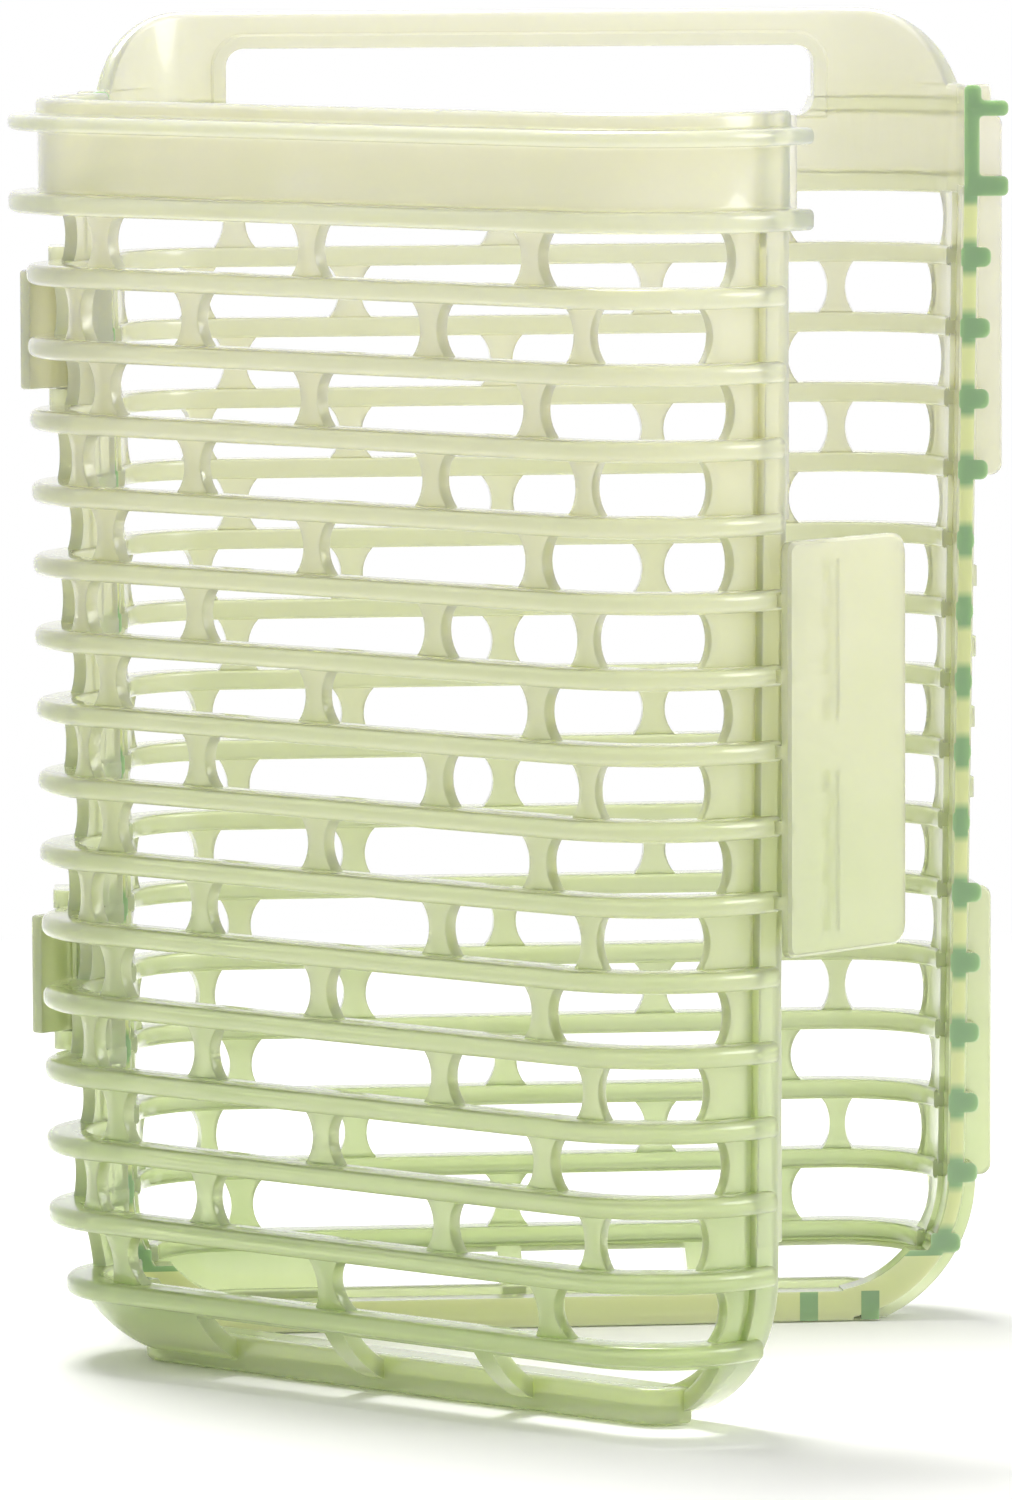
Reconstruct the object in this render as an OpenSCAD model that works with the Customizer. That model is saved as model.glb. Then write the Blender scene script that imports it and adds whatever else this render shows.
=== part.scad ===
// Produce keeper basket: two lattice halves on an upright hinge, the rear one with a lifting handle.
// Millimetres, +Z up. The origin is on the underside of the rear half's foot.
// Each half is drawn with its mating plane at y = 0 and its wall towards +y, then put in place.

/* [Basket] */
// Outside width across the side walls at the collar
basket_w = 125; // [112:1:150]
// Radius of the upright corners at the collar
corner_r = 19.5; // [18:0.5:24]
// Depth of the straight mating edge in front of each corner
edge_d = 4.4; // [3.6:0.1:5]
// Width of the mating edge, measured inwards from the wall line
edge_w = 2.5; // [2:0.1:3.2]
// Gap between the halves when the basket is shut
mate_gap = 0.3; // [0.3:0.05:0.6]
// Inward lean of the walls, per mm of height
draft = 0.015; // [0:0.001:0.018]
// Radius of the rounded lower edges
belly_r = 20; // [18:0.5:22]
// How far the front half stands open
open_angle = 48; // [10:1:90]

/* [Lattice] */
// Number of ribs, counted from the top
rib_count = 16; // [14:1:18]
// Height from rib to rib
rib_pitch = 10; // [9:0.5:12]
// Thickness of a rib
rib_t = 2.8; // [2.2:0.1:3.4]
// How far a rib stands out from the wall line
rib_out = 1.8; // [1.5:0.1:2.1]
// How far a rib reaches in from the wall line
rib_in = 3.8; // [3.4:0.1:4.6]
// Height of the lowest rib's middle
lowest_rib_z = 10.8; // [10:0.2:13]
// How far the posts stand back from the wall line
post_recess = 1.2; // [0.8:0.1:1.6]
// How far the inside of a post stands back from the inside of the ribs
post_back = 0.5; // [0.4:0.1:0.8]
// Width of a post at its waist
post_w = 3.2; // [2.6:0.1:4.5]
// How much each side of a post spreads where it meets a rib
post_flare = 1.2; // [0.8:0.1:1.6]
// Distance from the mating plane to the ends of the front half's ribs beside the latch
rib_end = 2.4; // [1:0.1:3]
// Sideways shift of the window pattern
pattern_shift = -2.3; // [-4:0.1:4]
// Arc that the end post takes up in rows of long corner windows
long_row_end = 14.5; // [10:0.5:20]
// Arc that the end post takes up in rows of short corner windows
short_row_end = 25.5; // [22:0.5:32]
// Middle of the corner post in rows of short corner windows
corner_post_angle = 79; // [70:0.5:80]

/* [Collar and handle] */
// Height of the rim flange's middle above the top rib's middle
rim_rise = 10.95; // [9:0.05:14]
// Thickness of the rim flange
rim_t = 2.2; // [1.8:0.1:3]
// How far the rim flange and the top rib stand out from the wall line
rim_out = 4.1; // [3.5:0.1:4.2]
// Thickness of the collar wall
collar_t = 2.2; // [1.8:0.1:3]
// Height of the lip above the rim flange
lip_h = 2.2; // [1.5:0.1:3]
// Height of the handle above the rim flange
handle_h = 12.6; // [11:0.2:18]
// Radius of the handle's shoulders
shoulder_r = 12; // [10:0.5:14]
// Distance from the handle's shoulder to the basket's side
shoulder_in = 1.2; // [0.5:0.1:3]
// Width of the grip opening
grip_w = 84; // [70:1:86]
// Height of the grip opening
grip_h = 10; // [8:0.2:11]
// How far the grip opening reaches below the rim flange
grip_drop = 0.4; // [0.3:0.1:2]
// Corner radius of the grip opening
grip_r = 2.5; // [1.5:0.1:2.9]
// How far the tabs at the ends of the rear lip stand out from the wall line
tab_out = 2; // [1:0.1:3]
// Thickness of those tabs
tab_t = 2; // [1:0.1:2.4]

/* [Base] */
// Height of the foot
foot_h = 5; // [4.4:0.1:6]
// How far the foot stands back from the wall line above it
foot_inset = 11.5; // [10.5:0.1:12.5]
// Thickness of the floor and of the curved lower wall
floor_t = 2.4; // [1.8:0.1:3]
// Thickness of the mating edge along the base
sill_t = 4.2; // [3:0.1:5]
// Height of the plain strip between the drain slots and the lowest rib
slot_rim = 0.8; // [0.5:0.1:1.2]
// Distance from drain slot to drain slot
slot_pitch = 27; // [22:0.5:30]
// Width of the bars between the drain slots
slot_bar = 3; // [2.5:0.1:4.5]

/* [Hinge] */
// Distance of the hinge axis from the side wall
hinge_out = 4.5; // [4.5:0.1:6]
// Distance of the hinge axis from the mating plane, on the front half's side
hinge_fwd = 2.4; // [2.3:0.1:3]
// Radius of the hinge pins
pin_r = 1.2; // [1:0.05:1.4]
// Running clearance of a pin in its eye
pin_clear = 0.05; // [0.02:0.01:0.1]
// Outer radius of the hinge eyes
eye_r = 2.2; // [1.9:0.05:2.3]
// Height of a hinge strap
strap_h = 16.6; // [14:0.2:17]
// Distance from the end of a hinge strap to the front wall line
strap_back = 11.6; // [9:0.2:14]
// Thickness of a hinge strap
strap_t = 2; // [1.6:0.1:2.4]
// Height of a hinge lug
lug_h = 2.6; // [2:0.1:3.5]
// End play between a strap and its lugs
end_play = 0.3; // [0.2:0.05:0.5]

/* [Latch and ears] */
// Thickness of the latch plate
latch_t = 1.8; // [1.4:0.1:2.4]
// How far the latch plate reaches past the mating plane
latch_reach = 20; // [14:0.5:24]
// Space between the latch plate and the rib tips
latch_gap = 0.4; // [0.3:0.05:0.8]
// Corner radius of the latch plate
latch_r = 2.5; // [1:0.1:4]
// Height of the snap rails on the latch plate's inside
rail_out = 1.4; // [0.8:0.1:1.5]
// Width of a snap rail
rail_w = 1; // [0.8:0.1:1.4]
// Length of a snap rail
rail_l = 21.4; // [15:0.2:23]
// How far the catches stand out from the rear mating edge
catch_out = 0.5; // [0.3:0.05:0.6]
// Height of a catch
catch_h = 3; // [2:0.1:4]
// How far the ears stand out from the wall line
ear_out = 3.9; // [3:0.1:5]
// Thickness of the ears
ear_t = 1.4; // [1:0.1:1.6]
// Corner radius of the ears
ear_r = 1.6; // [0.8:0.1:1.8]
// Thickness of the alignment tongue
tongue_t = 1.2; // [1:0.1:1.5]
// How far the alignment tongue reaches past the mating plane
tongue_reach = 2.3; // [1.5:0.1:2.8]

/* [Hidden] */
$fn = 48;
corner_x = basket_w / 2 - corner_r;
mate_y = mate_gap / 2;
row_h = rib_pitch - rib_t;
post_root = rib_t / 4;
top_rib_z = lowest_rib_z + (rib_count - 1) * rib_pitch;
lattice_z = lowest_rib_z - rib_t / 2;
collar_z = top_rib_z - rib_t / 2;
rim_z = top_rib_z + rim_rise;
rim_top = rim_z + rim_t / 2;
post_foot = post_w + 2 * post_flare;
post_arc_r = (row_h * row_h / 4 + post_flare * post_flare) / (2 * post_flare);
post_reach = corner_x - post_foot / 2 - abs(pattern_shift);
long_row_posts = [for (i = [-1:1]) pattern_shift + i * post_reach];
short_row_posts = [for (i = [-1, 1]) pattern_shift + i * post_reach * 4 / 7];
hinge_x = -basket_w / 2 - hinge_out;
strap_tops = [rib_z(2), rib_z(rib_count - 5)];
latch_top_rib = 5;
latch_low_rib = rib_count - 5;
latch_z0 = rib_z(latch_low_rib) + rib_t;
latch_z1 = rib_z(latch_top_rib) - rib_t * 0.8;
latch_x = corner_x + wall_r(rib_z(latch_top_rib)) + rib_out + latch_gap;
rail_y = edge_d + 2 * mate_gap;
pocket_d = rail_y + 3 * rail_w + mate_gap;
belly_top_r = corner_r - draft * (top_rib_z - belly_r);
foot_r = wall_r(lattice_z) + belly(lattice_z) - foot_inset;
foot_mid_r = foot_r - floor_t / 2;
slot_z = lattice_z - slot_rim;
foot_mid_y = edge_d + foot_r / 2;
far = 2 * basket_w;

top_green = "#e3e3b4";
mid_green = "#c3d19f";
low_green = "#b4c88d";
edge_green = "#97b873";
plate_green = "#a9bd99";
ear_cream = "#ece7c8";

// Heights and wall line

function rib_z(k) = lowest_rib_z + (rib_count - k) * rib_pitch;
function row_z(k) = rib_z(k + 1) + rib_t / 2;
function belly(z) = z < belly_r ? belly_r - sqrt(belly_r * belly_r - (belly_r - z) * (belly_r - z)) : 0;
function wall_r(z) = corner_r - draft * (top_rib_z - z) - belly(z);
function row_r(k) = wall_r(row_z(k) + row_h / 2);
function post_r0(k) = row_r(k) - rib_in + post_back;
function post_r1(k) = row_r(k) - post_recess;
function is_long(k) = k % 2 == 1;
// Posts and strips run on a little way into the ribs, except into the collar above the first row
function root_z(k) = row_z(k) - post_root;
function root_h(k) = row_h + (k > 1 ? 2 : 1) * post_root;
function row_at(z) = rib_count - 1 - floor((z - lowest_rib_z) / rib_pitch);

// Placing the halves

module rear_half() {
    translate([0, -foot_mid_y, 0]) children();
}

module front_half() {
    translate([hinge_x, -foot_mid_y - hinge_fwd, 0])
        rotate(-open_angle)
            translate([-hinge_x, hinge_fwd, 0]) mirror([0, 1, 0]) children();
}

module at_corners(sides) {
    for (s = sides)
        mirror([s < 0 ? 1 : 0, 0, 0]) translate([corner_x, edge_d, 0]) children();
}

// Shapes that repeat

module along_x(l) {
    translate([-l / 2, edge_d, 0]) rotate([90, 0, 90]) linear_extrude(l) children();
}

module along_y(y0, y1) {
    translate([0, y1, 0]) rotate([90, 0, 0]) linear_extrude(y1 - y0) children();
}

module rib_profile(z, r, inside, out) {
    translate([r - inside, z - rib_t / 2]) square([inside + out - rib_t / 2, rib_t]);
    translate([r + out - rib_t / 2, z]) circle(d = rib_t);
}

module rounded(x0, z0, x1, z1, r) {
    translate([x0 + r, z0]) square([x1 - x0 - 2 * r, z1 - z0]);
    translate([x0, z0 + r]) square([x1 - x0, z1 - z0 - 2 * r]);
    for (x = [x0 + r, x1 - r], z = [z0 + r, z1 - r])
        translate([x, z]) circle(r);
}

module post_shape(k) {
    difference() {
        translate([-post_foot / 2, root_z(k)]) square([post_foot, root_h(k)]);
        for (s = [-1, 1])
            translate([s * (post_w / 2 + post_arc_r), row_z(k) + row_h / 2]) circle(post_arc_r);
    }
}

module post_sector(k, a0, a1) {
    rotate(a0) rotate_extrude(angle = a1 - a0)
        translate([post_r0(k), root_z(k)]) square([post_r1(k) - post_r0(k), root_h(k)]);
}

// Half of a rounded outline, open at the mating plane
module half_outline(r, y0) {
    intersection() {
        union() {
            translate([-corner_x - r, y0]) square([2 * (corner_x + r), edge_d - y0]);
            translate([-corner_x, y0]) square([2 * corner_x, edge_d + r - y0]);
            for (s = [-1, 1])
                translate([s * corner_x, edge_d]) circle(r);
        }
        translate([-far / 2, y0]) square([far, far]);
    }
}

module half_ring(r0, r1, z, h) {
    translate([0, 0, z]) linear_extrude(h) difference() {
        half_outline(r1, mate_y);
        half_outline(r0, -1);
    }
}

// Lattice

module flat_panel() {
    for (k = [2:rib_count])
        along_x(2 * corner_x) rib_profile(rib_z(k), wall_r(rib_z(k)), rib_in, rib_out);
    for (k = [1:rib_count - 1])
        for (x = is_long(k) ? long_row_posts : short_row_posts)
            translate([x, 0, 0])
                along_y(edge_d + post_r0(k), edge_d + post_r1(k)) post_shape(k);
}

module corner_lattice(side) {
    at_corners([side]) {
        for (k = [2:rib_count])
            rotate_extrude(angle = 90) rib_profile(rib_z(k), wall_r(rib_z(k)), rib_in, rib_out);
        for (k = [1:rib_count - 1]) {
            half_post = post_foot / post_r1(k) * 90 / PI;
            post_sector(k, 0, is_long(k) ? long_row_end : short_row_end);
            if (!is_long(k))
                post_sector(k, corner_post_angle - half_post, corner_post_angle + half_post);
        }
    }
}

// Section of a mating edge, where the ribs in the flush list don't stand out
module edge_section(out, flush) {
    for (k = [2:rib_count])
        if (out == 0 || len(search(k, flush)) > 0)
            translate([wall_r(rib_z(k)) - edge_w, rib_z(k) - rib_t / 2]) square([edge_w, rib_t]);
        else
            rib_profile(rib_z(k), wall_r(rib_z(k)), edge_w, out);
    for (k = [1:rib_count - 1])
        translate([row_r(k) - edge_w, root_z(k)]) square([edge_w, root_h(k)]);
}

// Straight strip beside the mating plane, with ribs that end at y0
module mating_edge(side, y0 = mate_y, flush = []) {
    mirror([side < 0 ? 1 : 0, 0, 0]) translate([corner_x, 0, 0]) {
        along_y(y0, edge_d) edge_section(rib_out, flush);
        if (y0 > mate_y)
            along_y(mate_y, y0) edge_section(0, flush);
    }
}

// Base

module belly_circle(r) {
    translate([belly_top_r - belly_r, belly_r]) circle(r);
}

// Section of the rounded lower wall, from x0 outwards
module belly_section(x0, t) {
    difference() {
        intersection() {
            belly_circle(belly_r);
            translate([x0, 0]) square([far, lattice_z]);
        }
        belly_circle(belly_r - t);
    }
}

module foot_section() {
    square([foot_r, floor_t]);
    translate([foot_r - floor_t, 0]) square([floor_t, foot_h]);
}

// Lower wall with slots above the foot; the last slot runs on round the right corner
module slotted_wall() {
    difference() {
        along_x(2 * corner_x) belly_section(foot_mid_r, floor_t);
        for (i = [-1:1]) {
            x0 = pattern_shift + i * slot_pitch + slot_bar / 2;
            x1 = i < 1 ? x0 + slot_pitch - slot_bar : corner_x + slot_bar;
            translate([x0, edge_d, -floor_t]) cube([x1 - x0, far, slot_z + floor_t]);
        }
    }
    at_corners([-1]) rotate_extrude(angle = 90) belly_section(foot_mid_r, floor_t);
    at_corners([1]) {
        rotate_extrude(angle = long_row_end) belly_section(foot_mid_r, floor_t);
        rotate_extrude(angle = 90) intersection() {
            belly_section(foot_mid_r, floor_t);
            translate([0, slot_z]) square([far, slot_rim]);
        }
    }
}

module base_shell() {
    slotted_wall();
    along_x(2 * corner_x) foot_section();
    at_corners([-1, 1]) rotate_extrude(angle = 90) foot_section();
}

module bottom_edge() {
    belly_x = belly_top_r - belly_r;
    along_y(mate_y, edge_d) {
        for (s = [-1, 1])
            mirror([s < 0 ? 1 : 0, 0]) translate([corner_x, 0]) belly_section(belly_x, sill_t);
        translate([-corner_x - belly_x, 0]) square([2 * (corner_x + belly_x), sill_t]);
    }
}

// Collar: a plain band between the top rib and the rim flange
module collar(top) {
    half_ring(corner_r - collar_t, corner_r, collar_z, top - collar_z);
    half_ring(corner_r - collar_t, corner_r + rim_out, collar_z, rib_t);
    half_ring(corner_r - collar_t, corner_r + rim_out, rim_z - rim_t / 2, rim_t);
}

// Rear half

module rear_back_panel() {
    color(mid_green) rear_half() flat_panel();
}

module rear_left_corner() {
    color(mid_green) rear_half() corner_lattice(-1);
}

module rear_right_corner() {
    color(mid_green) rear_half() difference() {
        corner_lattice(1);
        latch_pocket();
    }
}

module latch_pocket() {
    x = corner_x + wall_r(rib_z(latch_top_rib));
    translate([x, -1, latch_z0 - rib_t]) cube([far, pocket_d + 1, latch_z1 - latch_z0 + 2 * rib_t]);
}

module rear_left_edge() {
    color(edge_green) rear_half() mating_edge(-1);
}

module rear_right_strip() {
    mating_edge(1, flush = [for (k = [latch_top_rib + 1:latch_low_rib - 1]) k]);
}

module rear_right_edge() {
    color(edge_green) rear_half() rear_right_strip();
}

module rear_bottom_edge() {
    color(edge_green) rear_half() bottom_edge();
}

module rear_base() {
    color(low_green) rear_half() base_shell();
}

// Slot for the fingers, through the handle and the rim flange below it
module grip_opening() {
    z0 = rim_z - rim_t / 2 - grip_drop;
    along_y(edge_d + corner_r / 2, far) rounded(-grip_w / 2, z0, grip_w / 2, z0 + grip_h, grip_r);
}

module rear_collar() {
    color(top_green) rear_half() difference() {
        collar(rim_top);
        grip_opening();
    }
}

module handle_outline() {
    side_x = basket_w / 2 - shoulder_in;
    top_z = rim_top + handle_h;
    translate([-basket_w, rim_top]) square([2 * basket_w, lip_h]);
    translate([shoulder_r - side_x, rim_top]) square([2 * (side_x - shoulder_r), handle_h]);
    intersection() {
        for (s = [-1, 1])
            translate([s * (side_x - shoulder_r), top_z - shoulder_r]) circle(shoulder_r);
        translate([-basket_w, rim_top]) square([2 * basket_w, handle_h]);
    }
}

module rear_handle() {
    color(top_green) rear_half() {
        difference() {
            intersection() {
                half_ring(corner_r - collar_t, corner_r, rim_top, handle_h);
                along_y(0, far) handle_outline();
            }
            grip_opening();
        }
        for (s = [-1, 1])
            mirror([s < 0 ? 1 : 0, 0, 0]) translate([basket_w / 2 - collar_t / 2, edge_d - tab_t, rim_top])
                cube([tab_out + collar_t / 2, tab_t, lip_h]);
    }
}

module ear(z0, z1) {
    wall_x = corner_x + wall_r((z0 + z1) / 2);
    difference() {
        along_y(edge_d - ear_t, edge_d) rounded(wall_x - edge_w - ear_r, z0, wall_x + ear_out, z1, ear_r);
        rear_right_strip();
        inner_x = corner_x + wall_r(z0) - edge_w / 2;
        translate([0, -1, z0 - 1]) cube([inner_x, far, z1 - z0 + 2]);
    }
}

module rear_upper_ear() {
    band_z = collar_z + rib_t;
    color(ear_cream) rear_half() {
        ear(rib_z(latch_top_rib) - rib_t / 3, collar_z);
        translate([basket_w / 2, edge_d - ear_t, band_z]) cube([ear_out, ear_t, rim_z - rim_t / 2 - band_z]);
    }
}

module rear_lower_ear() {
    color(ear_cream) rear_half() ear(rib_z(rib_count - 1) - rib_t / 4, rib_z(latch_low_rib) + rib_t / 4);
}

module rear_latch_catches() {
    color(edge_green) rear_half()
        for (k = [latch_top_rib + 1:latch_low_rib - 2])
            translate([corner_x + row_r(k), mate_y, row_z(k) + (row_h - catch_h) / 2])
                cube([catch_out, edge_d - mate_y, catch_h]);
}

// Hinge

// Block that joins a hinge part to the wall in row k, from x0 on
module hinge_web(k, x0, z0, z1) {
    translate([x0, mate_y, z0]) cube([-corner_x - row_r(k) - x0, edge_d - mate_y, z1 - z0]);
}

module lug(z) {
    neck_w = 1.4 * eye_r;
    k = row_at(z + lug_h);
    difference() {
        union() {
            translate([hinge_x, -hinge_fwd, z]) {
                cylinder(r = eye_r, h = lug_h);
                translate([-neck_w / 2, 0, 0]) cube([neck_w, hinge_fwd + edge_d, lug_h]);
            }
            hinge_web(k, hinge_x, z, z + lug_h);
        }
        translate([-corner_x - wall_r(rib_z(k + 1)) - rib_out, -1, rib_z(k + 1) - rib_t / 2])
            cube([far, far, rib_t]);
    }
}

module rear_hinge_lugs() {
    color(edge_green) rear_half()
        for (top = strap_tops) {
            lug(top + end_play);
            lug(top - strap_h - end_play - lug_h);
        }
}

module hinge_pins() {
    color(edge_green) rear_half()
        for (top = strap_tops)
            translate([hinge_x, -hinge_fwd, top - strap_h - end_play])
                cylinder(r = pin_r, h = strap_h + 2 * end_play);
}

module strap(top) {
    z0 = top - strap_h;
    strap_x = hinge_x + (eye_r - pin_r) / 2;
    strap_y = edge_d + wall_r(top - strap_h / 2) - strap_back;
    difference() {
        union() {
            translate([hinge_x, hinge_fwd, z0]) cylinder(r = eye_r, h = strap_h);
            translate([strap_x, mate_y, z0]) cube([strap_t, strap_y - mate_y, strap_h]);
            for (k = [row_at(top - rib_t):row_at(z0)])
                hinge_web(k, strap_x + strap_t / 2, max(z0, row_z(k)), min(top, row_z(k) + row_h));
        }
        translate([hinge_x, hinge_fwd, z0 - 1]) cylinder(r = pin_r + pin_clear, h = strap_h + 2);
    }
}

module front_hinge_straps() {
    color(plate_green) front_half()
        for (top = strap_tops)
            strap(top);
}

// Front half

module front_face_panel() {
    color(mid_green) front_half() flat_panel();
}

module front_left_corner() {
    color(mid_green) front_half() corner_lattice(-1);
}

module front_right_corner() {
    color(mid_green) front_half() corner_lattice(1);
}

module front_left_edge() {
    color(edge_green) front_half() mating_edge(-1);
}

module front_right_edge() {
    color(edge_green) front_half() mating_edge(1, rib_end);
}

module front_bottom_edge() {
    color(edge_green) front_half() bottom_edge();
}

module front_base() {
    color(low_green) front_half() base_shell();
}

module front_collar() {
    color(top_green) front_half() collar(rim_top + lip_h);
}

// Strip inside the right mating edge that slips into the rear half
module tongue(z0, z1) {
    x1 = corner_x + wall_r(z0) - edge_w;
    translate([x1 - tongue_t, mate_y, z0]) cube([tongue_t, edge_d - mate_y, z1 - z0]);
    translate([x1 - tongue_t, -tongue_reach, z0]) cube([tongue_t - mate_gap, tongue_reach + edge_d, z1 - z0]);
}

module front_tongue() {
    color(edge_green) front_half() {
        tongue(rib_z(latch_top_rib), rib_z(1) - row_h / 2);
        tongue(rib_z(rib_count - 1) + row_h / 2, rib_z(latch_low_rib));
    }
}

module front_latch_plate() {
    color(plate_green) front_half() {
        translate([latch_x, 0, 0]) rotate([90, 0, 90]) linear_extrude(latch_t)
            rounded(-latch_reach, latch_z0, edge_d, latch_z1, latch_r);
        difference() {
            for (k = [latch_top_rib + 1:latch_low_rib - 1])
                translate([corner_x + wall_r(rib_z(k)), rib_end, rib_z(k) - rib_t / 4])
                    cube([latch_x + latch_t / 2 - corner_x - wall_r(rib_z(k)), edge_d - rib_end, rib_t / 2]);
            mating_edge(1, rib_end);
        }
    }
}

// Two toothed rails on the inside of the latch plate
module front_latch_rails() {
    tooth_l = rail_l / 7;
    color(plate_green) front_half()
        for (z = [latch_z0 + rib_t, latch_z1 - rib_t - rail_l]) {
            translate([latch_x - rail_out, -rail_y - 2 * rail_w, z]) cube([rail_out, rail_w, rail_l]);
            for (i = [0:2:6])
                translate([latch_x - rail_out, -rail_y - rail_w, z + i * tooth_l])
                    cube([rail_out, rail_w, tooth_l]);
        }
}

rear_back_panel();
rear_left_corner();
rear_right_corner();
rear_left_edge();
rear_right_edge();
rear_bottom_edge();
rear_base();
rear_collar();
rear_handle();
rear_upper_ear();
rear_lower_ear();
rear_latch_catches();
rear_hinge_lugs();
hinge_pins();
front_face_panel();
front_left_corner();
front_right_corner();
front_left_edge();
front_right_edge();
front_bottom_edge();
front_base();
front_collar();
front_tongue();
front_latch_plate();
front_latch_rails();
front_hinge_straps();
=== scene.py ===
import math

import bmesh
import bpy
from mathutils import Matrix, Vector


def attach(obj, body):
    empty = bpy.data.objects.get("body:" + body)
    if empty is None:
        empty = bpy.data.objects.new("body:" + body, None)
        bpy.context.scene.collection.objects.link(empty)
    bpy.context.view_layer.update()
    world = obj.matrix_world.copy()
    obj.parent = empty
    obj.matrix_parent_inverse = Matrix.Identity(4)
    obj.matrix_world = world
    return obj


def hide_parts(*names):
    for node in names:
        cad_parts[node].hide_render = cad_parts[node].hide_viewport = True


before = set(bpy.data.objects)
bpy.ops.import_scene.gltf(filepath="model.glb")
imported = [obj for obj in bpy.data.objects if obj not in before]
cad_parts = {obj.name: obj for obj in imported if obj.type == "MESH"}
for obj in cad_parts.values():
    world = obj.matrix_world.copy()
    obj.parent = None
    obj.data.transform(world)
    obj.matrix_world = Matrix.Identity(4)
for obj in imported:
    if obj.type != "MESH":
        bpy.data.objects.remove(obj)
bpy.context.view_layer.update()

print("frame loaded")

# Sizes in mm. Each half is modelled with its mating plane at y = 0 and its wall towards +y.
basket = {
    "width": 125.0,
    "cornerRadius": 19.5,
    "turnRadius": 20.0,    # lengths round a corner are counted at this radius
    "edgeDepth": 4.4,      # straight strip in front of each corner
    "edgeWidth": 2.5,
    "mateGap": 0.15,       # half of the gap when shut
    "draft": 0.015,
    "bellyRadius": 20.0,
    "openAngle": 48.0,
    "hingeOut": 4.5,
    "hingeForward": 2.4,   # hinge axis in front of the rear mating plane
    "footMiddle": 7.2645,  # from the mating plane to the origin
}
cornerX = basket["width"] / 2 - basket["cornerRadius"]
hingeX = -basket["width"] / 2 - basket["hingeOut"]
turnLength = basket["turnRadius"] * math.pi / 2  # outline length of one rounded corner
cornerEnd = cornerX + turnLength
edgeEnd = cornerEnd + basket["edgeDepth"] - basket["mateGap"]

lattice = {
    "ribCount": 16,
    "aboveLatch": 5,       # ribs are counted from the top
    "belowLatch": 11,
    "ribPitch": 10.0,
    "lowestRib": 10.8,
    "ribThick": 2.8,
    "ribOut": 1.8,
    "ribIn": 3.8,
    "ribRound": 1.05,
    "ribBackRound": 0.5,
    "ribTaper": 1.0,       # over this length a rib narrows to the mating strip
    "frontEndCut": 2.25,   # front ribs stop short of the mating plane
    "ribEndRound": 0.35,
    "pocketLength": 4.0,   # rear ribs lie flush here, under the latch plate
    "pocketSlope": 0.6,
    "postIn": 3.3,
    "postRecess": 1.2,
    "postWaist": 3.1,
    "postRound": 0.35,
    "postSink": 0.45,      # into the ribs
    "endPostSink": 0.4,    # into the mating strips
    "windowEnd": 5.3,      # radius of the rounded window ends
    "longRow": (-41.0, -3.0, 36.6),
    "shortRow": (-46.8, -24.6, 18.6, 45.6),
    "longRowEnd": 14.5,    # degrees of the corner that the end post fills
    "shortRowEnd": 25.5,
}
topRib = lattice["lowestRib"] + (lattice["ribCount"] - 1) * lattice["ribPitch"]
rowHeight = lattice["ribPitch"] - lattice["ribThick"]


def ribHeight(k):
    return lattice["lowestRib"] + (lattice["ribCount"] - k) * lattice["ribPitch"]


def wallRadius(z):
    inset = basket["draft"] * (topRib - z)
    big = basket["bellyRadius"]
    if z < big:
        inset += big - math.sqrt(big * big - (big - z) ** 2)
    return basket["cornerRadius"] - inset


# Place on the outline: s runs along it from the middle of the wall, r is the distance from the corner's axis
def outlinePoint(s, r):
    side, a = (1 if s >= 0 else -1), abs(s)
    depth = basket["edgeDepth"]
    if a <= cornerX:
        return s, depth + r
    if a <= cornerEnd:
        turn = (a - cornerX) / turnLength * math.pi / 2
        return side * (cornerX + r * math.sin(turn)), depth + r * math.cos(turn)
    return side * (cornerX + r), depth - (a - cornerEnd)


# Places along the outline, closer together round the corners
def stations(left=-edgeEnd, right=edgeEnd, extra=()):
    turnSteps, flatSteps, apart = 14, 6, 0.05
    marks = [-edgeEnd, -cornerEnd, -cornerX, cornerX, cornerEnd, edgeEnd]
    marks += [side * (cornerX + turnLength * i / turnSteps) for side in (-1, 1) for i in range(1, turnSteps)]
    marks += [-cornerX + 2 * cornerX * i / flatSteps for i in range(1, flatSteps)]
    inner = [m for m in marks if left + apart < m < right - apart]
    return sorted(set([left, right] + inner + list(extra)))


# Polygon with rounded corners, from (x, y, radius)
def filleted(corners, steps=4):
    points = []
    for i, (x, y, radius) in enumerate(corners):
        here = Vector((x, y))
        if radius <= 0:
            points.append((x, y))
            continue
        a = (Vector(corners[i - 1][:2]) - here).normalized()
        b = (Vector(corners[(i + 1) % len(corners)][:2]) - here).normalized()
        half = a.angle(b) / 2
        centre = here + (a + b).normalized() * radius / math.sin(half)
        start = here + a * radius / math.tan(half) - centre
        sweep = start.angle_signed(here + b * radius / math.tan(half) - centre)
        for j in range(steps + 1):
            turn = Matrix.Rotation(-sweep * j / steps, 2)
            points.append(tuple(centre + turn @ start))
    return points


# Closed skin through rings of points
def loft(bm, rings):
    rows = [[bm.verts.new(p) for p in ring] for ring in rings]
    n = len(rows[0])
    for lower, upper in zip(rows, rows[1:]):
        for i in range(n):
            bm.faces.new((lower[i], lower[(i + 1) % n], upper[(i + 1) % n], upper[i]))
    bm.faces.new(rows[0])
    bm.faces.new(rows[-1])


def sweep(bm, profileAt, marks):
    loft(bm, [[(*outlinePoint(s, r), z) for r, z in profileAt(s)] for s in marks])


# Upright piece: its cross-section is given in outline places at each height
def column(bm, sectionAt, heights):
    loft(bm, [[(*outlinePoint(s, r), z) for s, r in sectionAt(z)] for z in heights])


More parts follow.
